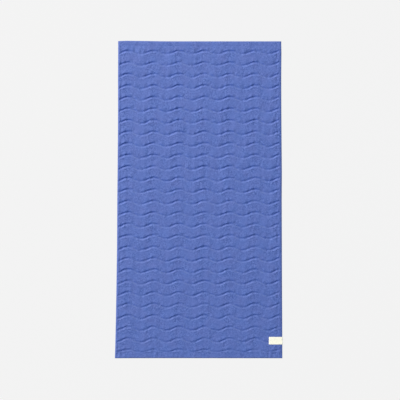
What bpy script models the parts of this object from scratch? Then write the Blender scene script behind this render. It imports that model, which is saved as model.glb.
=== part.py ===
"""Bath towel of thick terry, laid out flat on a surface, with a tape label folded over one long edge.

The sheet is one closed solid: wavy grooves run across its upper face from side to side, its four edges are
turned hems, and its underside is flat. X runs across the towel, Y along it and Z up. The origin is the
middle of the underside. All sizes are in metres.
"""

from math import pi

import bmesh
import bpy
import numpy as np

# Heights above the surface it lies on
FIELD_HEIGHT = 0.0050
GROOVE_DEPTH = 0.0024

# The outline. The lower end lies 20 mm wider than the upper one, and the edges wander by a millimetre or so.
SIDE_COLUMNS = ("y", "left", "right")
SIDE_SECTIONS = (
    (-0.7300, -0.3872, 0.3850),
    (-0.6570, -0.3853, 0.3848),
    (-0.5460, -0.3827, 0.3843),
    (-0.4360, -0.3808, 0.3836),
    (-0.3250, -0.3792, 0.3832),
    (-0.2150, -0.3775, 0.3829),
    (-0.1100, -0.3768, 0.3825),
    (0.0000, -0.3763, 0.3821),
    (0.1180, -0.3750, 0.3828),
    (0.2300, -0.3741, 0.3817),
    (0.3400, -0.3731, 0.3809),
    (0.4500, -0.3728, 0.3802),
    (0.5600, -0.3729, 0.3799),
    (0.6700, -0.3724, 0.3808),
    (0.7300, -0.3722, 0.3797),
)
END_COLUMNS = ("x", "lower", "upper")
END_SECTIONS = (
    (-0.3870, -0.7319, 0.7295),
    (-0.3360, -0.7317, 0.7319),
    (-0.2620, -0.7315, 0.7309),
    (-0.1510, -0.7314, 0.7294),
    (0.0500, -0.7315, 0.7293),
    (0.2000, -0.7317, 0.7293),
    (0.3850, -0.7318, 0.7294),
)

# The hems. Each is as wide as this from the edge to its line of stitches. Its section runs from the edge
# inwards: the round outer edge, the flat turning, the stitches and the pile of the field. A point lies at
# share times the hem's width plus offset, and groove is the part of a groove's depth that is left there.
HEM_WIDTH = {"left": 0.0140, "right": 0.0190, "lower": 0.0160, "upper": 0.0180}
HEM_COLUMNS = ("share", "offset", "height", "groove")
HEM_SECTION = (
    (0.0, 0.0000, 0.0014, 0.0),
    (0.0, 0.0014, 0.0036, 0.0),
    (0.0, 0.0050, 0.0046, 0.0),
    (1.0, -0.0030, 0.0046, 0.5),
    (1.0, 0.0000, 0.0040, 0.6),
    (1.0, 0.0035, FIELD_HEIGHT, 1.0),
)

# The grooves, from the uppermost down. Each is a wave that swings to both sides of its middle, from one long
# edge to the other. The weave draws in a little, so their middles are almost but not quite evenly spaced.
GROOVES = 27
GROOVE_COLUMNS = ("number", "middle", "swing")
GROOVE_SECTIONS = (
    (0, 0.6768, 0.0066),
    (3, 0.5169, 0.0077),
    (6, 0.3573, 0.0077),
    (12, 0.0378, 0.0075),
    (17, -0.2264, 0.0079),
    (20, -0.3833, 0.0081),
    (25, -0.6491, 0.0086),
    (26, -0.6984, 0.0056),
)
GROOVE_WIDTH = 0.0130
WAVE_LENGTH = 0.1172
WAVE_CREST = 0.0242
FACETS_PER_WAVE = 8

# The label: a tape folded over the right edge, its lower flap pressed into the underside
TAPE_THICKNESS = 0.0010
TAPE_WIDTH = 0.0355
TAPE_MIDDLE = -0.6500
FLAP_END = 0.3212
FOLD_EDGE = 0.3872
LABEL_BOTTOM = 0.0002
LABEL_TOP = 0.0054
FOLD_STEPS = 8
GAP = 0.0003

TERRY_BLUE = (0.105, 0.165, 0.470, 1.0)
TAPE_CREAM = (0.900, 0.880, 0.760, 1.0)


def columns_of(names, sections):
    """A table as a dictionary of its columns."""
    return dict(zip(names, np.array(sections).T, strict=True))


def from_edge(side):
    """How far the hem's points lie from this edge."""
    hem = columns_of(HEM_COLUMNS, HEM_SECTION)
    return hem["share"] * HEM_WIDTH[side] + hem["offset"]


def both_ends(values, count, middle):
    """A row of count values: these at its start, the same in reverse at its end, and middle between."""
    row = np.full(count, middle)
    row[: len(values)] = values
    row[-len(values) :] = values[::-1]
    return row


def facet_places(sides):
    """The columns between the side hems: even facets of the wave, one of them on each crest."""
    facet = WAVE_LENGTH / FACETS_PER_WAVE
    low = sides["left"].max() + from_edge("left")[-1] + facet / 3
    high = sides["right"].min() - from_edge("right")[-1] - facet / 3
    first, last = np.ceil((low - WAVE_CREST) / facet), np.floor((high - WAVE_CREST) / facet)
    return WAVE_CREST + facet * np.arange(first, last + 1)


def sheet_points():
    """The upper face as a grid of points, rows by columns by XYZ. Three rows follow each groove: its upper
    lip, its bottom and its lower lip."""
    sides = columns_of(SIDE_COLUMNS, SIDE_SECTIONS)
    ends = columns_of(END_COLUMNS, END_SECTIONS)
    hem = columns_of(HEM_COLUMNS, HEM_SECTION)
    table = columns_of(GROOVE_COLUMNS, GROOVE_SECTIONS)
    number = np.arange(GROOVES)[::-1]
    across = GROOVE_WIDTH * np.array([-0.5, 0.0, 0.5])
    middle = (np.interp(number, table["number"], table["middle"])[:, None] + across).ravel()
    swing = np.interp(number, table["number"], table["swing"]).repeat(3)
    sunk = np.tile([0.0, 1.0, 0.0], GROOVES)
    facets = facet_places(sides)
    margin = len(HEM_SECTION)
    rows, columns = len(middle) + 2 * margin, len(facets) + 2 * margin
    lower, upper = from_edge("lower"), from_edge("upper")[::-1]

    # Where a row meets the long edges decides where its hem columns lie
    level = np.concatenate([ends["lower"].mean() + lower, middle, ends["upper"].mean() - upper])
    x = np.empty((rows, columns))
    x[:, :margin] = np.interp(level, sides["y"], sides["left"])[:, None] + from_edge("left")
    x[:, margin:-margin] = facets
    x[:, -margin:] = np.interp(level, sides["y"], sides["right"])[:, None] - from_edge("right")[::-1]

    y = np.empty((rows, columns))
    y[:margin] = np.interp(x[:margin], ends["x"], ends["lower"]) + lower[:, None]
    y[-margin:] = np.interp(x[-margin:], ends["x"], ends["upper"]) - upper[:, None]
    wave = np.cos(2 * pi * (x[margin:-margin] - WAVE_CREST) / WAVE_LENGTH)
    y[margin:-margin] = middle[:, None] + swing[:, None] * wave

    # The lower of the two hems' heights, so that their lines of stitches cross at the corners
    height = np.minimum(
        both_ends(hem["height"], rows, FIELD_HEIGHT)[:, None],
        both_ends(hem["height"], columns, FIELD_HEIGHT),
    )
    depth = GROOVE_DEPTH * both_ends(hem["groove"], columns, 1.0)
    height[margin:-margin] -= sunk[:, None] * depth
    return np.stack([x, y, height], axis=-1)


def make_towel():
    """The sheet: a grid for the upper face, its border drawn down to the underside, and that filled."""
    points = sheet_points()
    rows, columns = points.shape[:2]
    bm = bmesh.new()
    bmesh.ops.create_grid(bm, x_segments=columns - 1, y_segments=rows - 1, size=1.0)
    for vert, place in zip(bm.verts, points.reshape(-1, 3), strict=True):
        vert.co = place
    border = [edge for edge in bm.edges if edge.is_boundary]
    drawn = bmesh.ops.extrude_edge_only(bm, edges=border)["geom"]
    for vert in drawn:
        if isinstance(vert, bmesh.types.BMVert):
            vert.co.z = 0.0
    rim = [edge for edge in drawn if isinstance(edge, bmesh.types.BMEdge) and edge.is_boundary]
    bmesh.ops.contextual_create(bm, geom=rim)
    bmesh.ops.recalc_face_normals(bm, faces=bm.faces)
    return mesh_object("towel", bm)


def tape_profile(margin):
    """The folded tape seen along Y, as a closed outline grown by margin on every side: out along the upper
    flap, half a circle round the fold, back along the lower flap, and the same inside."""
    outer = (LABEL_TOP - LABEL_BOTTOM) / 2
    centre_x = FOLD_EDGE - outer
    centre_z = (LABEL_TOP + LABEL_BOTTOM) / 2
    turn = np.linspace(pi / 2, -pi / 2, FOLD_STEPS + 1)
    outline = []
    for radius, angles in (
        (outer + margin, turn),
        (outer - TAPE_THICKNESS - margin, turn[::-1]),
    ):
        ends = (centre_z + radius, centre_z - radius)
        if angles[0] < 0:
            ends = ends[::-1]
        outline.append((FLAP_END - margin, ends[0]))
        outline += [(centre_x + radius * np.cos(a), centre_z + radius * np.sin(a)) for a in angles]
        outline.append((FLAP_END - margin, ends[1]))
    return outline


def make_tape(name, margin):
    """The folded tape as a solid, or the room for it where margin is over 0."""
    half = TAPE_WIDTH / 2 + margin
    bm = bmesh.new()
    rim = [bm.verts.new((x, TAPE_MIDDLE - half, z)) for x, z in tape_profile(margin)]
    face = bm.faces.new(rim)
    drawn = bmesh.ops.extrude_face_region(bm, geom=[face])["geom"]
    moved = [vert for vert in drawn if isinstance(vert, bmesh.types.BMVert)]
    bmesh.ops.translate(bm, vec=(0.0, 2 * half, 0.0), verts=moved)
    bmesh.ops.recalc_face_normals(bm, faces=bm.faces)
    return mesh_object(name, bm)


def mesh_object(name, bm):
    """The bmesh as an object of the scene, round where it turns gently and sharp at its edges."""
    mesh = bpy.data.meshes.new(name)
    bm.to_mesh(mesh)
    bm.free()
    mesh.shade_smooth()
    mesh.set_sharp_from_angle(angle=pi / 5)
    piece = bpy.data.objects.new(name, mesh)
    bpy.context.scene.collection.objects.link(piece)
    return piece


def paint(piece, name, colour, roughness):
    """A cloth finish in one colour."""
    finish = bpy.data.materials.new(name)
    finish.use_nodes = True
    shader = finish.node_tree.nodes["Principled BSDF"]
    shader.inputs["Base Color"].default_value = colour
    shader.inputs["Roughness"].default_value = roughness
    shader.inputs["Metallic"].default_value = 0.0
    piece.data.materials.append(finish)


def seat_label(towel):
    """Takes from the sheet the room that the pressed-down label needs."""
    room = make_tape("label_room", GAP)
    room.hide_render = True
    room.display_type = "WIRE"
    cut = towel.modifiers.new("label_room", "BOOLEAN")
    cut.operation = "DIFFERENCE"
    cut.solver = "EXACT"
    cut.object = room


def main():
    for old in list(bpy.data.objects):
        bpy.data.objects.remove(old)
    towel = make_towel()
    label = make_tape("label", 0.0)
    seat_label(towel)
    paint(towel, "blue_terry", TERRY_BLUE, 0.95)
    paint(label, "cream_tape", TAPE_CREAM, 0.80)


main()
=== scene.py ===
"""The looks of a bath towel of thick terry, laid out flat, with a bare tape label over one long edge."""

from math import pi, radians

import bpy
import numpy as np
from mathutils import Euler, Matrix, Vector


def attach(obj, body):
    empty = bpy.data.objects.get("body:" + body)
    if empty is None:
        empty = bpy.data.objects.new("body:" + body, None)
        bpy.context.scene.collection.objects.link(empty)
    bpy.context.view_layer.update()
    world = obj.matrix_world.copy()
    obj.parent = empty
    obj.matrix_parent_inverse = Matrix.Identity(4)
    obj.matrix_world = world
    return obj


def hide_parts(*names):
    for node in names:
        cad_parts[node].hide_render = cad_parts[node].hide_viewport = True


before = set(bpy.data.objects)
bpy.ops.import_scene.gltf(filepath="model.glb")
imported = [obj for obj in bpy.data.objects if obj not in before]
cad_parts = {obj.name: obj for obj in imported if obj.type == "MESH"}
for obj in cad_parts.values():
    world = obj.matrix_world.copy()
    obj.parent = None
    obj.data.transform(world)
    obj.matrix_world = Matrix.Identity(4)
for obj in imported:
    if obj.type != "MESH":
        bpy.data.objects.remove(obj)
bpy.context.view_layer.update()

# Camera, floor and light: the photograph looks straight down on the middle of the towel. The light comes
# from the left and a little from above, so each groove has a dark upper wall and a light lower one. It is
# warmer than the sky that fills the shade, so the dark walls are the bluer ones.
CAMERA_LENS, CAMERA_SENSOR = 85.0, 36.0  # mm
VIEW_WIDTH = 1.845
VIEW_MIDDLE = (0.0053, -0.0023)
FLOOR_SIDE = 60.0
FLOOR_COLOUR = "#F2F2F2"
FLOOR_SHADED = 0.03
SOFTBOXES = {  # azimuth, elevation, distance, diameter, watts
    "key_softbox": (150.0, 28.0, 15.0, 4.2, 3318.0),
    "fill_softbox": (90.0, 65.0, 5.0, 2.0, 63.5),
}
SOFTBOX_COLOUR = "#FFF5EA"
SKY_COLOUR = "#788E9F"


def linear(colour):
    """An sRGB hex colour as linear RGBA: a channel is 0.055 more, over 1.055, to the power 2.4, and near
    black it is a 12.92th."""
    channels = np.array([int(colour[i : i + 2], 16) for i in (1, 3, 5)]) / 255
    bright = ((channels + 0.055) / 1.055) ** 2.4
    return (*np.where(channels <= 0.04045, channels / 12.92, bright).tolist(), 1.0)


def add_node(tree, kind, values=None, links=None, **settings):
    """Adds a node to the tree: settings are its properties, values the numbers of its inputs, and links the
    outputs that its inputs take."""
    node = tree.nodes.new("ShaderNode" + kind)
    for name, setting in settings.items():
        setattr(node, name, setting)
    for socket, value in (values or {}).items():
        node.inputs[socket].default_value = value
    for socket, output in (links or {}).items():
        tree.links.new(output, node.inputs[socket])
    return node


def new_material(name, **constants):
    """A material with one principled shader, whose constants are set on its own sockets."""
    material = bpy.data.materials.new(name)
    material.use_nodes = True
    shader = material.node_tree.nodes["Principled BSDF"]
    for socket, value in constants.items():
        shader.inputs[socket.replace("_", " ")].default_value = value
    return material, material.node_tree, shader


def new_piece(name, points, faces, material):
    """Points and faces as a smooth piece of the scene, with its place in its mesh."""
    mesh = bpy.data.meshes.new(name)
    mesh.from_pydata(np.asarray(points).reshape(-1, 3).tolist(), [], faces)
    mesh.materials.append(material)
    mesh.shade_smooth()
    piece = bpy.data.objects.new(name, mesh)
    bpy.context.scene.collection.objects.link(piece)
    return piece


lens = bpy.data.cameras.new("camera")
lens.lens, lens.sensor_width = CAMERA_LENS, CAMERA_SENSOR
camera = bpy.data.objects.new("camera", lens)
camera.location = (*VIEW_MIDDLE, VIEW_WIDTH * CAMERA_LENS / CAMERA_SENSOR)
bpy.context.scene.collection.objects.link(camera)
bpy.context.scene.camera = camera
bpy.context.scene.view_settings.view_transform = "Standard"

# A smooth pale floor that glows faintly, as a backdrop lit from below does, so shadows on it are light
paper, tree, shader = new_material(
    "pale_backdrop_paper",
    Base_Color=(FLOOR_SHADED, FLOOR_SHADED, FLOOR_SHADED, 1.0),
    Roughness=1.0,
    Specular_IOR_Level=0.0,
    Emission_Color=linear(FLOOR_COLOUR),
    Emission_Strength=1.0 - FLOOR_SHADED,
)
corner = FLOOR_SIDE / 2
square = [(-corner, -corner, 0.0), (corner, -corner, 0.0), (corner, corner, 0.0), (-corner, corner, 0.0)]
floor = new_piece("floor", square, [(0, 1, 2, 3)], paper)

for name, (azimuth, elevation, distance, diameter, watts) in SOFTBOXES.items():
    softbox = bpy.data.lights.new(name, "AREA")
    softbox.shape, softbox.size, softbox.energy = "DISK", diameter, watts
    softbox.color = linear(SOFTBOX_COLOUR)[:3]
    stand = bpy.data.objects.new(name, softbox)
    aim = Euler((0.0, radians(90.0 - elevation), radians(azimuth)))
    stand.rotation_euler = aim
    stand.location = aim.to_matrix() @ Vector((0.0, 0.0, distance))
    bpy.context.scene.collection.objects.link(stand)

sky = bpy.data.worlds.new("studio")
sky.use_nodes = True
seen = add_node(sky.node_tree, "LightPath").outputs["Is Camera Ray"]
shown = add_node(
    sky.node_tree,
    "Mix",
    {"A": linear(SKY_COLOUR), "B": linear(FLOOR_COLOUR)},
    {"Factor": seen},
    data_type="RGBA",
)
sky.node_tree.links.new(shown.outputs[2], sky.node_tree.nodes["Background"].inputs["Color"])
bpy.context.scene.world = sky

# Towel: one length of thick cotton terry, woven with loops on both faces. Where the loops are left out of
# the upper face it sinks into wavy grooves, 27 of them from edge to edge, and its four edges are turned
# under and sewn, which draws a shallow valley round the cloth. It lies flat under its own weight.
MILLIMETRE = 0.001
FLAT_SIZE = (0.762, 1.461)
PILE_TOP = 0.0050
TAPE_PLACE = {"left": 0.3230, "middle": -0.6505, "half": 0.0173}  # where the label lies on it
SIDE_EDGES = np.array(
    [  # y, left, right
        (-0.7300, -0.3872, 0.3850),
        (-0.6570, -0.3853, 0.3848),
        (-0.5460, -0.3827, 0.3843),
        (-0.4360, -0.3808, 0.3836),
        (-0.3250, -0.3792, 0.3832),
        (-0.2150, -0.3775, 0.3829),
        (-0.1100, -0.3768, 0.3825),
        (0.0000, -0.3763, 0.3821),
        (0.1180, -0.3750, 0.3828),
        (0.2300, -0.3741, 0.3817),
        (0.3400, -0.3731, 0.3809),
        (0.4500, -0.3728, 0.3802),
        (0.5600, -0.3729, 0.3799),
        (0.6700, -0.3724, 0.3808),
        (0.7300, -0.3722, 0.3797),
    ]
).T
END_EDGES = np.array(
    [  # x, lower, upper
        (-0.3870, -0.7319, 0.7295),
        (-0.3360, -0.7317, 0.7319),
        (-0.2620, -0.7315, 0.7309),
        (-0.1510, -0.7314, 0.7294),
        (0.0500, -0.7315, 0.7293),
        (0.2000, -0.7317, 0.7293),
        (0.3850, -0.7318, 0.7294),
    ]
).T

# The hems: how each is wide and rounded, and the profile that all four share
HEMS = {  # edge to stitches, reach of the rounded edge, depth of the valley, share the edge is thicker
    "left": (0.0145, 0.0035, 0.0005, 0.0),
    "right": (0.0205, 0.0092, 0.0006, 0.07),
    "lower": (0.0215, 0.0052, 0.00015, 0.20),
    "upper": (0.0210, 0.0020, 0.0004, -0.04),
}
HEM_PROFILE = np.array(
    [  # part of the way to the stitches, part of the round edge, further inwards, height, part of the valley
        (0.0, 0.00, 0.0000, 0.0016, 0.0),
        (0.0, 0.05, 0.0000, 0.0025, 0.0),
        (0.0, 0.17, 0.0000, 0.0032, 0.0),
        (0.0, 0.40, 0.0000, 0.0038, 0.0),
        (0.0, 0.69, 0.0000, 0.0043, 0.0),
        (0.0, 1.00, 0.0000, 0.0047, 0.0),
        (0.25, 0.60, 0.0000, 0.0048, 0.0),
        (1.0, 0.00, -0.0060, 0.0050, 0.1),
        (1.0, 0.00, -0.0042, 0.0050, 0.33),
        (1.0, 0.00, -0.0025, 0.0050, 0.67),
        (1.0, 0.00, -0.0010, 0.0050, 0.9),
        (1.0, 0.00, 0.0000, 0.0050, 1.0),  # the stitches
        (1.0, 0.00, 0.0010, 0.0050, 0.9),
        (1.0, 0.00, 0.0025, 0.0050, 0.67),
        (1.0, 0.00, 0.0045, 0.0050, 0.25),
        (1.0, 0.00, 0.0065, 0.0050, 0.0),
    ]
).T
STITCH_LINE = HEM_PROFILE[4].argmax()

# The grooves: where they run, and the rows and columns of points that draw them
GROOVES = 27
GROOVE_PITCH = 0.0530
WAVE_LENGTH, WAVE_CREST = 0.1172, 0.0262
GROOVE_PLACES = np.array(
    [  # number from the top, middle, swing of the wave, share of its depth
        (0, 0.6768, 0.0066, 0.82),
        (3, 0.5169, 0.0077, 1.0),
        (6, 0.3573, 0.0077, 1.0),
        (12, 0.0378, 0.0075, 1.0),
        (17, -0.2264, 0.0079, 1.0),
        (20, -0.3833, 0.0081, 1.0),
        (25, -0.6491, 0.0086, 1.0),
        (26, -0.6984, 0.0056, 0.85),
    ]
).T
WANDER = dict(spread=0.0005, shortest=0.016, longest=0.060, seed=11)
HELD_UP = 0.0015  # how softly the lower hem stops the lowest wave
COLUMNS = 134
ACROSS_GROOVE = MILLIMETRE * np.array(
    [-13.0, -10.8, -9.0, -7.4, -6.1, -5.0, -3.8, -2.4, -0.8, 0.8, 2.4, 3.8, 5.0, 6.2, 7.6, 9.6]
)
ROWS_BETWEEN = 4
ROWS_AT_ENDS = {"lower": 1, "upper": 3}

# The walls of a groove, at 16 even steps along its wave, and how far each reaches from the bottom. A groove
# ends at the side hems, and it comes near its greatest depth without reaching it. Above it the cloth has a
# lip, and below it a ridge. The walls are stronger in some places and rows than in others, all the more in a
# band near the left hem, and they grow towards the towel's upper end.
WALLS_START = 0.0242
GROOVE_WALLS = np.array(
    # The last column is the strength of the highlight painted on each lower wall
    [  # mm of the upper wall, the lower wall, the ridge below it and a swell, and how far loop tips show
        (2.65, 2.40, 0.35, -0.02, 0.40),  # the crest of the wave
        (2.55, 1.60, 0.25, -0.04, 0.25),
        (2.05, 1.10, 0.15, 0.03, 0.15),
        (0.65, 0.90, 0.10, 0.10, 0.35),
        (-0.20, 0.80, 0.00, 0.00, 0.95),  # half-way down to the right
        (1.85, 1.60, 0.00, -0.13, 1.00),
        (1.75, 1.35, 0.00, 0.00, 0.50),
        (0.85, 1.30, -0.10, 0.09, 0.25),
        (1.75, 2.50, -0.10, 0.14, 0.35),  # the trough
        (2.05, 2.20, -0.10, 0.19, 0.40),
        (2.15, 1.30, 0.20, 0.36, 0.40),
        (1.80, 2.20, 0.35, 0.53, 0.40),
        (2.35, 3.75, 0.30, 0.46, 0.50),  # half-way up to the right
        (3.75, 4.35, 0.60, 0.38, 0.50),
        (3.35, 1.30, 0.80, 0.20, 0.35),
        (1.95, 1.20, 0.50, 0.02, 0.40),
    ]
).T
WALL_REACH = {"upper": (0.0056, 2.4), "lower": (0.0046, 3.0)}  # reach, and power of the fall
DEEPEST_GROOVE = 0.0045
GROOVE_ENDS = {"left": (0.004, 0.010), "right": (0.009, 0.017)}  # from the edge: none, in full
LIP_RISE, LIP_FALL = (0.001, 0.008), (0.008, 0.022)  # from a groove's bottom
RIDGE_BELOW, RIDGE_REACH = 0.0080, 0.0026
WALL_SHIFT = dict(spread=0.22, shortest=0.050, longest=0.120, seed=15)
WALL_STRENGTH = dict(spread=0.15, shortest=0.024, longest=0.080, seed=12, most=2.0)
ROW_STRENGTH = dict(spread=0.08, shortest=0.045, longest=0.120, seed=18, most=2.0)
ROW_DRAWN_OUT = 5.0  # along X
LEFT_STRENGTH, LEFT_BAND, LEFT_BAND_REACH = 0.30, 0.030, 0.018
UPPER_CHANGE, LOWER_CHANGE, RIDGE_CHANGE = 0.15, 0.55, 0.40

# The pile's own unevenness: tufts, slack along the length, slow swells, two faint long creases, and puckers
# by the hems, which draw the cloth in unevenly. It fades out at the edges, and the label presses it flat.
TUFTS = dict(spread=0.00010, shortest=0.010, longest=0.020, seed=13)
SLACK = dict(spread=0.00014, shortest=0.020, longest=0.055, seed=14, stretch=6.0)
SWELLS = dict(spread=0.00030, shortest=0.060, longest=0.160, seed=16)
CRUMPLE = dict(spread=1.0, shortest=0.013, longest=0.024, seed=19, stretch=2.2)
CREASE_REACH, CREASE_FADE = 0.0110, 0.030
CREASES = (  # x, upper end, lower end, height
    (-0.3037, 0.7200, 0.4800, 0.00035),
    (-0.1953, 0.6000, 0.1600, -0.00035),
)
PUCKERS = (  # x, y, reach across, reach along, height
    (-0.2950, 0.6840, 0.0300, 0.0240, 0.00080),
    (-0.3400, -0.7120, 0.0550, 0.0240, 0.00065),
    (-0.2050, -0.7000, 0.0220, 0.0380, 0.00070),
    (-0.1000, -0.7200, 0.0700, 0.0180, 0.00050),
    (0.3350, -0.7080, 0.0450, 0.0240, 0.00070),
)
FREE_FROM_EDGE = (0.0, 0.006)
PRESSED_TOP, PRESSED_BORDER = 0.0044, (-0.003, 0.001)

# How ruffled the loops are: everywhere a little, and more below a groove, near the crest of its wave
RUFFLED, CREST_RUFFLED = 1.08, 0.5
CREST_AHEAD, CREST_PART, RUFFLED_BELOW = 0.5, (-0.3, 0.9), (0.002, 0.008)
RUFFLE_PATCHES = dict(spread=0.25, shortest=0.040, longest=0.120, seed=17)
# Painted shade on the grooves' upper walls, set by the upper wall's height
PAINTED_SHADE_SHOWS = (0.0005, 0.0032)  # at an upper wall of this height not at all, and in full


def smooth_step(low, high, value):
    """From 0 at low to 1 at high, as three squares less two cubes of the way between."""
    way = np.clip((value - low) / (high - low), 0.0, 1.0)
    return way * way * (3.0 - 2.0 * way)


def bell(value, middle, reach):
    """A bell curve: e to the minus square of the distance from its middle over its reach."""
    return np.exp(-(((value - middle) / reach) ** 2))


def ripples(x, y, spread, shortest, longest, seed, stretch=1.0, most=np.inf, waves=56):
    """An uneven relief: a sum of plane waves of random directions and phases, their lengths between the
    shortest and the longest, drawn out stretch times along Y, and kept within most times its spread."""
    draw = np.random.default_rng(seed)
    turn, start = draw.uniform(0.0, 2 * pi, (2, waves))
    rate = 2 * pi / draw.uniform(shortest, longest, waves)
    angle = np.multiply.outer(x, rate * np.cos(turn)) + np.multiply.outer(y, rate * np.sin(turn) / stretch)
    relief = np.cos(angle + start).sum(axis=-1) * np.sqrt(2 / waves)
    return spread * np.clip(relief, -most, most)


def round_wave(values, turn):
    """A smooth curve through values spaced evenly round a wave from its crest: their Fourier series."""
    parts = np.fft.rfft(values) / len(values)
    parts[1:-1] *= 2.0
    return sum((part * np.exp(1j * k * turn)).real for k, part in enumerate(parts))


def edge(side, along):
    """Where this edge of the towel lies, at these places along it."""
    table, column = {
        "left": (SIDE_EDGES, 1),
        "right": (SIDE_EDGES, 2),
        "lower": (END_EDGES, 1),
        "upper": (END_EDGES, 2),
    }[side]
    return np.interp(along, table[0], table[column])


def hem_offsets(side):
    """How far the rows or columns of this hem lie from its edge."""
    to_stitches, round_edge, inwards, *_ = HEM_PROFILE
    width, rounding, *_ = HEMS[side]
    return to_stitches * width + round_edge * rounding + inwards


def between_hems(first, last, count):
    """The heights of count rows or columns that start with one hem and end with the other. A hem's height is
    its profile's, more by its share of thickness at the edge, and less by its part of the valley."""
    to_stitches, _, _, level, sunk = HEM_PROFILE
    start, end = (
        level * (1.0 + thicker * (1.0 - to_stitches)) - sunk * valley
        for _, _, valley, thicker in (HEMS[first], HEMS[last])
    )
    return np.concatenate([start, np.full(count - len(start) - len(end), PILE_TOP), end[::-1]])


def by_tape(x, y, border):
    """From 0 off the tape to 1 on it: the product of smooth steps over the borders of its end and sides."""
    sides = smooth_step(*border, TAPE_PLACE["half"] - np.abs(y - TAPE_PLACE["middle"]))
    return smooth_step(*border, x - TAPE_PLACE["left"]) * sides


def towel_rows():
    """The grid's rows between the two end hems, as level, distance from the nearest groove's bottom, swing
    of the wave and share of the groove's depth. Each groove has its own close rows, and those between two
    grooves go evenly from one to the next. Towards the ends they go over to a straight line."""
    number = np.arange(GROOVES)[::-1]
    middle, swing, share = (np.interp(number, GROOVE_PLACES[0], row)[:, None] for row in GROOVE_PLACES[1:])
    close = np.stack(np.broadcast_arrays(middle + ACROSS_GROOVE, ACROSS_GROOVE, swing, share), axis=-1)
    way = np.arange(1, ROWS_BETWEEN + 1)[:, None] / (ROWS_BETWEEN + 1)
    between = close[:-1, -1:] + (close[1:, :1] - close[:-1, -1:]) * way
    pitch = middle[1:] - middle[:-1]
    offset = between[..., 0] - middle[:-1]
    between[..., 1] = np.where(offset < pitch / 2, offset, offset - pitch)
    field = np.concatenate([np.concatenate([close[:-1], between], axis=1).reshape(-1, 4), close[-1]])
    ends = {}
    for side, row, inwards in (("lower", field[0], 1.0), ("upper", field[-1], -1.0)):
        level = edge(side, 0.0) + inwards * hem_offsets(side)[-1]
        way = np.arange(1, ROWS_AT_ENDS[side] + 1)[:, None] / (ROWS_AT_ENDS[side] + 1)
        rest = np.array([level, row[1] - (row[0] - level), 0.0, row[3]])
        ends[side] = rest + (row - rest) * way
    return np.concatenate([ends["lower"], field, ends["upper"][::-1]])


def towel_grid():
    """Where the points of the upper face lie, as X and Y, with each row's distance from the nearest groove's
    bottom and share of its depth. The rows of a hem follow its edge. The others are cosine waves that wander
    a little, and the lower hem holds up the lowest: a row lies above it by s times the logarithm of one plus
    e to the power of its own distance over s, with s the softness."""
    rows = towel_rows()
    hem = len(HEM_PROFILE[0])
    from_below = edge("lower", 0.0) + hem_offsets("lower")
    from_above = edge("upper", 0.0) - hem_offsets("upper")[::-1]
    level = np.concatenate([from_below, rows[:, 0], from_above])
    low = edge("left", level)[:, None] + hem_offsets("left")
    high = edge("right", level)[:, None] - hem_offsets("right")[::-1]
    way = np.arange(1, COLUMNS + 1) / (COLUMNS + 1)
    x = np.concatenate([low, low[:, -1:] + (high[:, :1] - low[:, -1:]) * way, high], axis=1)

    y = np.empty_like(x)
    y[:hem] = edge("lower", x[:hem]) + hem_offsets("lower")[:, None]
    y[-hem:] = edge("upper", x[-hem:]) - hem_offsets("upper")[::-1, None]
    inner = x[hem:-hem]
    level, distance, swing, share = rows.T[..., None]
    wave = level + swing * np.cos(2 * pi * (inner - WAVE_CREST) / WAVE_LENGTH)
    wave += ripples(inner, level, **WANDER)
    hem_end = edge("lower", inner) + hem_offsets("lower")[-1]
    y[hem:-hem] = hem_end + HELD_UP * np.logaddexp(0.0, (wave - hem_end) / HELD_UP)

    off, depth = np.full((len(x), 1), 1.0), np.ones((len(x), 1))
    off[hem:-hem], depth[hem:-hem] = distance, share
    return x, y, off, depth


def groove_walls(x, y, from_left, depth):
    """How the grooves' walls are at each point: the turn round the wave, the heights of the upper wall, the
    lower wall, the ridge and the swell, and how strong the highlight painted on the lower wall is. The first
    three are the table's Fourier series times an uneven strength, and grow up the towel. The lower wall's
    height h is then D times the hyperbolic tangent of h over D, with D the deepest groove."""
    turn = 2 * pi * (x - WALLS_START) / WAVE_LENGTH + ripples(x, y, **WALL_SHIFT)
    upper, lower, ridge, swell, tips = (round_wave(values, turn) for values in GROOVE_WALLS)
    strength = 1.0 + ripples(x, y, **WALL_STRENGTH)
    strength += ripples(x / ROW_DRAWN_OUT, y, **ROW_STRENGTH)
    strength += LEFT_STRENGTH * bell(from_left, LEFT_BAND, LEFT_BAND_REACH)
    up_towel = 2.0 * y / FLAT_SIZE[1]
    upper, lower, ridge = (
        MILLIMETRE * height * strength * depth * (1.0 + change * up_towel)
        for height, change in (
            (upper, UPPER_CHANGE + UPPER_CHANGE * np.cos(turn)),
            (lower, LOWER_CHANGE),
            (ridge, RIDGE_CHANGE),
        )
    )
    lower = DEEPEST_GROOVE * np.tanh(lower / DEEPEST_GROOVE)
    return turn, upper, lower, ridge, MILLIMETRE * swell, tips


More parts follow.
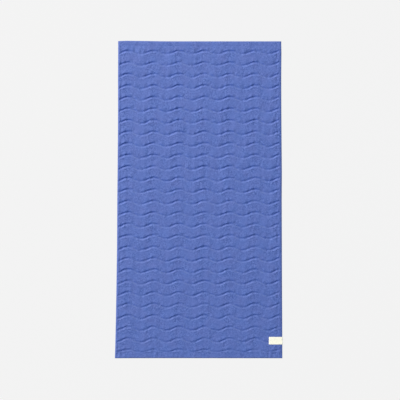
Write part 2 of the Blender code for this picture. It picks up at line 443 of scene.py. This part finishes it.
def towel_surface():
    """The upper face as a grid of points, with three marks for its colour: the shade painted on the
    grooves' upper walls, the highlight painted on their lower walls, and how ruffled the loops are.

    The height is the lower of the side hem's profile and the end hem's, and what either stands above the
    pile's top. A groove takes from it its lower wall's height times e to the minus power of the distance
    from its bottom over its reach. Above its upper wall the cloth stands higher, by what that wall is higher
    than the lower one, and falls back to its level further up. A bell-shaped ridge lies below the groove,
    and the cloth swells a little with the wave. The pile's uneven reliefs, creases and puckers come on top,
    and the label presses the pile under it."""
    x, y, off, depth = towel_grid()
    end_hems = between_hems("lower", "upper", len(x))[:, None]
    side_hems = between_hems("left", "right", x.shape[1])
    height = np.minimum(end_hems, side_hems) + np.maximum(np.maximum(end_hems, side_hems) - PILE_TOP, 0.0)
    from_left, from_right = x - edge("left", y), edge("right", y) - x

    turn, upper, lower, ridge, swell, tips = groove_walls(x, y, from_left, depth)
    inside = smooth_step(*GROOVE_ENDS["left"], from_left) * smooth_step(*GROOVE_ENDS["right"], from_right)
    reach, power = (np.where(off > 0.0, *pair) for pair in zip(WALL_REACH["upper"], WALL_REACH["lower"]))
    sunk = np.exp(-((np.abs(off) / reach) ** power)) * inside
    above = np.where(off > 0.0, off, off + GROOVE_PITCH)
    lip = smooth_step(*LIP_RISE, above) * (1.0 - smooth_step(*LIP_FALL, above)) * inside
    below = bell(off, -RIDGE_BELOW, RIDGE_REACH) * inside
    height -= lower * sunk * (height / PILE_TOP) ** 2
    height += (upper - lower) * lip + ridge * below + swell * inside

    free = smooth_step(*FREE_FROM_EDGE, np.minimum(from_left, from_right))
    free = free * smooth_step(*FREE_FROM_EDGE, np.minimum(y - edge("lower", x), edge("upper", x) - y))
    height += ripples(x, y, **TUFTS) * free
    height += ripples(x, y, **SLACK) * free
    for place, top, bottom, rise in CREASES:
        begun = smooth_step(bottom - CREASE_FADE, bottom + CREASE_FADE, y)
        ended = smooth_step(top - CREASE_FADE, top + CREASE_FADE, y)
        height += rise * bell(x, place, CREASE_REACH) * (begun * (1.0 - ended)) * free
    height += ripples(x, y, **SWELLS) * free
    crumple = ripples(x, y, **CRUMPLE) * free
    for place, level, across, along, rise in PUCKERS:
        height += rise * crumple * bell(x, place, across) * bell(y, level, along)
    height += by_tape(x, y, PRESSED_BORDER) * (np.minimum(height, PRESSED_TOP) - height)

    # Painted shade, a deeper blue, on the upper wall, which faces away from the light, and painted
    # highlight, paler and greyer, on the lower one, which faces it: most where the wall is steepest,
    # half-way down
    steep = 4.0 * sunk * (1.0 - sunk)
    painted_shade = np.where(off > 0.0, steep, 0.0) * smooth_step(*PAINTED_SHADE_SHOWS, upper)
    tips = np.where(off < 0.0, steep, 0.0) * np.clip(tips, 0.0, 1.0)
    crest = smooth_step(*CREST_PART, np.cos(turn + CREST_AHEAD))
    ruffle = RUFFLED + CREST_RUFFLED * crest * smooth_step(*RUFFLED_BELOW, -off)
    ruffle = ruffle * (1.0 + ripples(x, y, **RUFFLE_PATCHES))
    return np.stack([x, y, height], axis=-1), painted_shade, tips, ruffle


# The underside: two rings that bring the border down to it, and the rows and columns of its coarse grid,
# which are closer together round the label's lower flap, over which it stands off the floor
RINGS_UNDER = ((0.0003, 0.0008), (0.0012, 0.0))  # inset, height
UNDERSIDE_INSET = 0.0050
UNDERSIDE_ROWS = np.concatenate(
    [
        [-0.7270, -0.7000],
        TAPE_PLACE["middle"] + TAPE_PLACE["half"] * np.array([-1.34, -1.11, 0.0, 1.11, 1.34]),
        np.arange(-0.5900, 0.7270, 0.0600),
        [0.7250],
    ]
)
UNDERSIDE_COLUMNS = np.concatenate([np.linspace(0.0, 0.88, 12), [0.910, 0.9155, 0.9210, 0.9600, 1.0]])
LIFTED, LIFTED_BORDER = 0.0010, (-0.006, -0.002)


def zip_strip(outer, inner, outer_at, inner_at):
    """Triangles between two rows of points that run side by side: each outer step takes the inner point
    nearest to where it starts, and each inner step the outer point where that changes."""
    nearest = np.searchsorted((inner_at[1:] + inner_at[:-1]) / 2, outer_at)
    nearest[0], nearest[-1] = 0, len(inner) - 1
    faces = [(outer[i], outer[i + 1], inner[nearest[i]]) for i in range(len(outer) - 1)]
    change = np.searchsorted(nearest, np.arange(1, len(inner)))
    return faces + [(outer[change[m]], inner[m + 1], inner[m]) for m in range(len(inner) - 1)]


def towel_mesh():
    """The upper face, drawn down round its border by two rings and closed by the underside, a flat grid that
    a strip of triangles on each side joins to the lower ring."""
    top, *tones = towel_surface()
    rows, columns = top.shape[:2]
    index = np.arange(rows * columns).reshape(rows, columns)
    quads = np.stack([index[:-1, :-1], index[:-1, 1:], index[1:, 1:], index[1:, :-1]], axis=-1)
    faces = quads.reshape(-1, 4).tolist()
    border = np.concatenate([index[0, :-1], index[:-1, -1], index[-1, :0:-1], index[:0:-1, 0]])
    rim = top.reshape(-1, 3)[border]

    half_size = np.array(FLAT_SIZE) / 2
    rings = []
    for inset, height in RINGS_UNDER:
        ring = rim.copy()
        ring[:, :2] *= 1.0 - inset / half_size
        ring[:, 2] = height + LIFTED * by_tape(ring[:, 0], ring[:, 1], LIFTED_BORDER)
        rings.append(ring)
    count = len(border)
    loops = [border, rows * columns + np.arange(count), rows * columns + count + np.arange(count)]
    for upper, under in zip(loops[:-1], loops[1:]):
        faces += np.stack([upper, under, np.roll(under, -1), np.roll(upper, -1)], axis=-1).tolist()

    y = UNDERSIDE_ROWS[:, None]
    low, high = edge("left", y) + UNDERSIDE_INSET, edge("right", y) - UNDERSIDE_INSET
    x = low + (high - low) * UNDERSIDE_COLUMNS
    under = np.stack(np.broadcast_arrays(x, y, LIFTED * by_tape(x, y, LIFTED_BORDER)), axis=-1)
    points = np.concatenate([top.reshape(-1, 3), *rings, under.reshape(-1, 3)])
    grid = len(points) - x.size + np.arange(x.size).reshape(x.shape)
    quads = np.stack([grid[:-1, :-1], grid[1:, :-1], grid[1:, 1:], grid[:-1, 1:]], axis=-1)
    faces += quads.reshape(-1, 4).tolist()
    ring = np.append(loops[-1], loops[-1][0])
    corners = np.cumsum([0, columns - 1, rows - 1, columns - 1, rows - 1])
    for k, inner in enumerate((grid[0], grid[:, -1], grid[-1, ::-1], grid[::-1, 0])):
        outer = ring[corners[k] : corners[k + 1] + 1]
        axis, sign = k % 2, 1.0 if k < 2 else -1.0
        strip = zip_strip(outer, inner, sign * points[outer, axis], sign * points[inner, axis])
        faces += [tuple(reversed(face)) for face in strip]
    marks = np.zeros((len(tones), len(points)))
    marks[:, : tones[0].size] = [tone.ravel() for tone in tones]
    return points, faces, marks, top


# Cotton terry, dyed through: matt, with a soft sheen at a glancing angle from the fibres that stand out. Its
# loops are about 2.4 mm apart and lean together in tufts, which shows as a fine unevenness from afar. Some
# patches are a little greyer. The grooves' upper walls, which face away from the light, get a painted shade
# of deeper blue, and their lower walls a paler painted highlight.
LOOP_SPACING, TUFT_SIZE, PATCH_SIZE = 0.0024, 0.0070, 0.045
LOOP_TOP, LOOP_FOOT = 0.05, 0.75  # distances from a loop's middle, in spacings
LOOP_SHARE, MOTTLE_MEAN = 0.35, 0.675
MOTTLE_RANGE = {"From Min": 0.35, "From Max": 1.0}
PATCH_RANGE = {"From Min": 0.3, "From Max": 0.7}
PILE_RELIEF = 0.0012
TERRY_DEEP, TERRY_MIDDLE, TERRY_LIGHT = "#3A549B", "#5069B1", "#657DC5"
# The root tone is painted shade for the grooves' upper walls, and the tip tone painted highlight for the
# lower
TERRY_WORN, TERRY_PAINTED_SHADE, TERRY_PAINTED_HIGHLIGHT = "#5D69AC", "#3353AA", "#667AB6"
WORN_SHARE, PAINTED_SHADE_SHARE, PAINTED_HIGHLIGHT_SHARE = 0.36, 0.7, 0.7
terry, tree, shader = new_material(
    "looped_cotton_terry",
    Roughness=0.68,
    Specular_IOR_Level=0.40,
    Sheen_Weight=0.25,
    Sheen_Roughness=0.5,
    Sheen_Tint=linear("#9DB0E8"),
)
place = add_node(tree, "TexCoord").outputs["Object"]
loops = add_node(
    tree,
    "TexVoronoi",
    {"Scale": 1 / LOOP_SPACING, "Randomness": 0.85},
    {"Vector": place},
    feature="SMOOTH_F1",
).outputs["Distance"]
tufts = add_node(
    tree, "TexNoise", {"Scale": 1 / TUFT_SIZE, "Detail": 3.0, "Roughness": 0.6}, {"Vector": place}
)
loop_tip = add_node(tree, "MapRange", {"From Min": LOOP_FOOT, "From Max": LOOP_TOP}, {"Value": loops})
mottle = add_node(
    tree,
    "Math",
    {1: LOOP_SHARE},
    {0: loop_tip.outputs[0], 2: tufts.outputs["Fac"]},
    operation="MULTIPLY_ADD",
)
ruffle = add_node(tree, "Attribute", attribute_name="ruffle").outputs["Fac"]
ruffled = add_node(
    tree, "Mix", {"A": MOTTLE_MEAN}, {"Factor": ruffle, "B": mottle.outputs[0]}, clamp_factor=False
)
shade = add_node(tree, "MapRange", MOTTLE_RANGE, {"Value": ruffled.outputs[0]})
colour = add_node(tree, "ValToRGB", None, {"Fac": shade.outputs[0]})
ramp = colour.color_ramp.elements
ramp[0].color, ramp[1].color = linear(TERRY_DEEP), linear(TERRY_LIGHT)
ramp.new(0.5).color = linear(TERRY_MIDDLE)
patches = add_node(tree, "TexNoise", {"Scale": 1 / PATCH_SIZE, "Detail": 3.0}, {"Vector": place})
worn = add_node(tree, "MapRange", PATCH_RANGE, {"Value": patches.outputs["Fac"]})
tone = colour.outputs["Color"]
# Worn patches, then painted shade on the grooves' upper walls and painted highlight on their lower walls
for share, source, hue in (
    (WORN_SHARE, worn.outputs[0], TERRY_WORN),
    (PAINTED_SHADE_SHARE, add_node(tree, "Attribute", attribute_name="painted_shade").outputs["Fac"], TERRY_PAINTED_SHADE),
    (PAINTED_HIGHLIGHT_SHARE, add_node(tree, "Attribute", attribute_name="tips").outputs["Fac"], TERRY_PAINTED_HIGHLIGHT),
):
    part = add_node(tree, "Math", {1: share}, {0: source}, operation="MULTIPLY", use_clamp=True)
    tone = add_node(
        tree, "Mix", {"B": linear(hue)}, {"Factor": part.outputs[0], "A": tone}, data_type="RGBA"
    ).outputs[2]
tree.links.new(tone, shader.inputs["Base Color"])
bump = add_node(tree, "Bump", {"Strength": 0.8, "Distance": PILE_RELIEF}, {"Height": ruffled.outputs[0]})
tree.links.new(bump.outputs["Normal"], shader.inputs["Normal"])

points, faces, marks, towel_top = towel_mesh()
cloth = new_piece("towel_cloth", points, faces, terry)
# The marks: painted shade, painted highlight, and how ruffled the loops are
for name, mark in zip(("painted_shade", "tips", "ruffle"), marks):
    cloth.data.attributes.new(name, "FLOAT", "POINT").data.foreach_set("value", mark)

# Hem seams: one row of lockstitches along each hem, of spun cotton thread in the towel's blue, pulled down
# into the pile
STITCH_PITCH, STITCH_LENGTH, STITCH_RADIUS = 0.0036, 0.0030, 0.00045
STITCH_SIDES = 6
STITCH_RINGS = np.array([-0.8, 0.0, 0.8])  # parts of the way from its middle to its ends
SEAM_ENDS = slice(2, -2)


def stitch_points(starts, ends, radius):
    """Stitches as closed spindles from start to end, rings by sides by XYZ and two tips each. The radius
    falls as the root of one less the fourth power of the way from the middle, and the ends dip into the
    cloth by the square of that way."""
    way = STITCH_RINGS[:, None]
    turn = 2 * pi * np.arange(STITCH_SIDES)[:, None] / STITCH_SIDES
    run = ends - starts
    ahead = run / np.linalg.norm(run, axis=1, keepdims=True)
    aside = np.cross([0.0, 0.0, 1.0], ahead)
    up = np.cross(ahead, aside)
    middle = (starts + ends) / 2
    line = middle[:, None] + way * run[:, None] / 2 - up[:, None] * way**2 * radius
    wide = radius * np.sqrt(1.0 - way**4)
    outwards = np.cos(turn) * aside[:, None, None] + np.sin(turn) * up[:, None, None]
    rings = line[:, :, None] + wide[..., None] * outwards
    tips = np.stack([starts - up * radius, ends - up * radius], axis=1)
    return np.concatenate([rings.reshape(len(starts), -1, 3), tips], axis=1)


def stitch_faces(count):
    """The faces of this many stitches: quads between their rings and a fan of triangles at each tip."""
    sides = np.arange(STITCH_SIDES)
    after = (sides + 1) % STITCH_SIDES
    last_ring = (len(STITCH_RINGS) - 1) * STITCH_SIDES
    size = len(STITCH_RINGS) * STITCH_SIDES + 2
    quads = np.concatenate(
        [
            np.stack([k + sides, k + after, k + STITCH_SIDES + after, k + STITCH_SIDES + sides], axis=-1)
            for k in range(0, last_ring, STITCH_SIDES)
        ]
    )
    fans = np.concatenate(
        [
            np.stack([np.full(STITCH_SIDES, size - 2), after, sides], axis=-1),
            np.stack([np.full(STITCH_SIDES, size - 1), last_ring + sides, last_ring + after], axis=-1),
        ]
    )
    shift = size * np.arange(count)[:, None, None]
    return (quads + shift).reshape(-1, 4).tolist() + (fans + shift).reshape(-1, 3).tolist()


def seam(path, pitch, length):
    """Starts and ends of evenly spaced stitches along a path of points."""
    reach = np.concatenate([[0.0], np.cumsum(np.linalg.norm(np.diff(path, axis=0), axis=1))])
    at = np.arange(pitch, reach[-1] - pitch, pitch)
    return [
        np.stack([np.interp(at + shift, reach, path[:, k]) for k in range(3)], axis=-1)
        for shift in (-length / 2, length / 2)
    ]


# Spun cotton thread, dyed with the cloth: matt, with a faint twist of its plies
THREAD_PLY = 0.0006
thread, tree, shader = new_material(
    "spun_cotton_thread",
    Base_Color=linear("#5268AD"),
    Roughness=0.7,
    Specular_IOR_Level=0.35,
    Sheen_Weight=0.2,
)
place = add_node(tree, "TexCoord").outputs["Object"]
plies = add_node(tree, "TexNoise", {"Scale": 1 / THREAD_PLY, "Detail": 2.0}, {"Vector": place})
bump = add_node(tree, "Bump", {"Strength": 0.5, "Distance": 0.0002}, {"Height": plies.outputs["Fac"]})
tree.links.new(bump.outputs["Normal"], shader.inputs["Normal"])

seam_lines = (
    towel_top[STITCH_LINE, SEAM_ENDS],
    towel_top[-1 - STITCH_LINE, SEAM_ENDS],
    towel_top[SEAM_ENDS, STITCH_LINE],
    towel_top[SEAM_ENDS, -1 - STITCH_LINE],
)
seams = (seam(line, STITCH_PITCH, STITCH_LENGTH) for line in seam_lines)
starts, ends = (np.concatenate(part) for part in zip(*seams))
hem_stitches = new_piece(
    "hem_stitches", stitch_points(starts, ends, STITCH_RADIUS), stitch_faces(len(starts)), thread
)

for piece in (cloth, hem_stitches):
    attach(piece, "root")
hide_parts("towel")

# Label: a short length of woven cotton tape, cream and bare, folded over the right edge so that one flap
# lies on the pile and the other under the towel. Its woven edges run along it, a little thicker than the
# rest, and its cut ends are sewn down.
TAPE_THICK, TAPE_WIDTH = 0.0006, 2 * TAPE_PLACE["half"]
FOLD_OUT, FOLD_REACH = 0.3864, 0.0012
FLAP_HEIGHTS = {"upper": 0.0050, "lower": 0.0004}
ON_UPPER_FLAP = (0.0030, 0.0048)
TAPE_SLACK = dict(spread=0.00012, shortest=0.015, longest=0.040, seed=21)
WOVEN_EDGE = np.array([0.93, 0.95, 0.985, 1.0])
EDGE_STARTS, EDGE_THICKER = 0.94, 1.15
EDGE_POWER, EDGE_ROUNDED = 60, 0.9


def tape_path():
    """The middle of the tape seen along Y, from the end of the lower flap round half an ellipse to the end
    of the upper one, as points and the directions square to it."""
    radius = (FLAP_HEIGHTS["upper"] - FLAP_HEIGHTS["lower"]) / 2
    centre = np.array([FOLD_OUT - TAPE_THICK / 2 - FOLD_REACH, FLAP_HEIGHTS["lower"] + radius])
    turn = np.linspace(-pi / 2, pi / 2, 17)
    bend = centre + np.stack([FOLD_REACH * np.cos(turn), radius * np.sin(turn)], axis=-1)
    run = np.linspace(TAPE_PLACE["left"], centre[0], 24)[:-1]
    lower = np.stack([run, np.full(len(run), FLAP_HEIGHTS["lower"])], axis=-1)
    upper = np.stack([run[::-1], np.full(len(run), FLAP_HEIGHTS["upper"])], axis=-1)
    path = np.concatenate([lower, bend, upper])
    ahead = np.gradient(path, axis=0)
    ahead /= np.linalg.norm(ahead, axis=1, keepdims=True)
    return path, np.stack([ahead[:, 1], -ahead[:, 0]], axis=-1)


def tape_mesh():
    """A flat loop carried along the tape's path. Its thickness is the tape's, more at the woven edges, times
    the root of one less a part of a high power of the way across, which rounds them. The upper flap rises
    and falls a little with the pile."""
    path, outwards = tape_path()
    way = np.concatenate([-WOVEN_EDGE[::-1], np.linspace(-0.85, 0.85, 15), WOVEN_EDGE])
    thickness = TAPE_THICK / 2 * np.where(np.abs(way) > EDGE_STARTS, EDGE_THICKER, 1.0)
    thickness = thickness * np.sqrt(1.0 - np.abs(way) ** EDGE_POWER * EDGE_ROUNDED)
    loop = np.concatenate([np.stack([way, thickness], -1), np.stack([way[::-1], -thickness[::-1]], -1)])
    x = path[:, None, 0] + outwards[:, None, 0] * loop[:, 1]
    y = TAPE_PLACE["middle"] + TAPE_WIDTH / 2 * loop[:, 0]
    z = path[:, None, 1] + outwards[:, None, 1] * loop[:, 1]
    z = z + ripples(x, y, **TAPE_SLACK) * smooth_step(*ON_UPPER_FLAP, path[:, 1:])
    points = np.stack(np.broadcast_arrays(x, y, z), axis=-1)
    rows, columns = points.shape[:2]
    index = np.arange(rows * columns).reshape(rows, columns)
    after = np.roll(index, -1, axis=1)
    faces = np.stack([index[:-1], index[1:], after[1:], after[:-1]], axis=-1).reshape(-1, 4).tolist()
    for row, order in ((0, 1), (-1, -1)):
        front, back = index[row, : len(way)], index[row, ::-1][: len(way)]
        cap = np.stack([front[:-1], front[1:], back[1:], back[:-1]], axis=-1)
        faces += cap[:, ::order].tolist()
    return points, faces


# Plain-woven cotton tape, unbleached: a faint grid of threads. They are about 0.5 mm apart in the real one
# and are drawn at 0.9 mm, so that they show.
TAPE_THREAD = 0.0009
TAPE_DEEP, TAPE_LIGHT = "#FCF9E4", "#FFFDEE"
cotton_tape, tree, shader = new_material(
    "woven_cotton_tape", Roughness=0.75, Specular_IOR_Level=0.5, Sheen_Weight=0.3
)
place = add_node(tree, "TexCoord").outputs["Object"]
threads = [
    add_node(
        tree,
        "TexWave",
        {"Scale": 1 / TAPE_THREAD / 20 * pi, "Distortion": 0.6, "Detail": 1.0, "Detail Scale": 2.0},
        {"Vector": place},
        bands_direction=direction,
    ).outputs["Fac"]
    for direction in ("X", "Y")
]
weave = add_node(tree, "Math", None, {0: threads[0], 1: threads[1]}, operation="MULTIPLY")
colour = add_node(
    tree,
    "Mix",
    {"A": linear(TAPE_DEEP), "B": linear(TAPE_LIGHT)},
    {"Factor": weave.outputs[0]},
    data_type="RGBA",
)
tree.links.new(colour.outputs[2], shader.inputs["Base Color"])
bump = add_node(tree, "Bump", {"Strength": 0.5, "Distance": 0.0002}, {"Height": weave.outputs[0]})
tree.links.new(bump.outputs["Normal"], shader.inputs["Normal"])
points, faces = tape_mesh()
tape = new_piece("label_tape", points, faces, cotton_tape)

# Label seams: a row of small stitches of cream cotton thread across the tape near its end, and one near the
# fold, which hold it to the towel
LABEL_SEAMS = (0.3256, 0.3790)
LABEL_SEAM_INSET = 0.0012
SMALL_PITCH, SMALL_LENGTH, SMALL_RADIUS, SMALL_PLY = 0.0024, 0.0019, 0.00025, 0.0005
cream_thread, tree, shader = new_material(
    "cream_cotton_thread", Base_Color=linear("#F4F0DA"), Roughness=0.7, Specular_IOR_Level=0.35
)
place = add_node(tree, "TexCoord").outputs["Object"]
plies = add_node(tree, "TexNoise", {"Scale": 1 / SMALL_PLY, "Detail": 2.0}, {"Vector": place})
bump = add_node(tree, "Bump", {"Strength": 0.4, "Distance": 0.0002}, {"Height": plies.outputs["Fac"]})
tree.links.new(bump.outputs["Normal"], shader.inputs["Normal"])
top_of_flap = FLAP_HEIGHTS["upper"] + TAPE_THICK / 2
seam_half = TAPE_PLACE["half"] - LABEL_SEAM_INSET
lines = [
    np.array([(x, TAPE_PLACE["middle"] + side * seam_half, top_of_flap) for side in (-1.0, 1.0)])
    for x in LABEL_SEAMS
]
seams = (seam(line, SMALL_PITCH, SMALL_LENGTH) for line in lines)
starts, ends = (np.concatenate(part) for part in zip(*seams))
label_stitches = new_piece(
    "label_stitches", stitch_points(starts, ends, SMALL_RADIUS), stitch_faces(len(starts)), cream_thread
)
for piece in (tape, label_stitches):
    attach(piece, "root")
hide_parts("label")
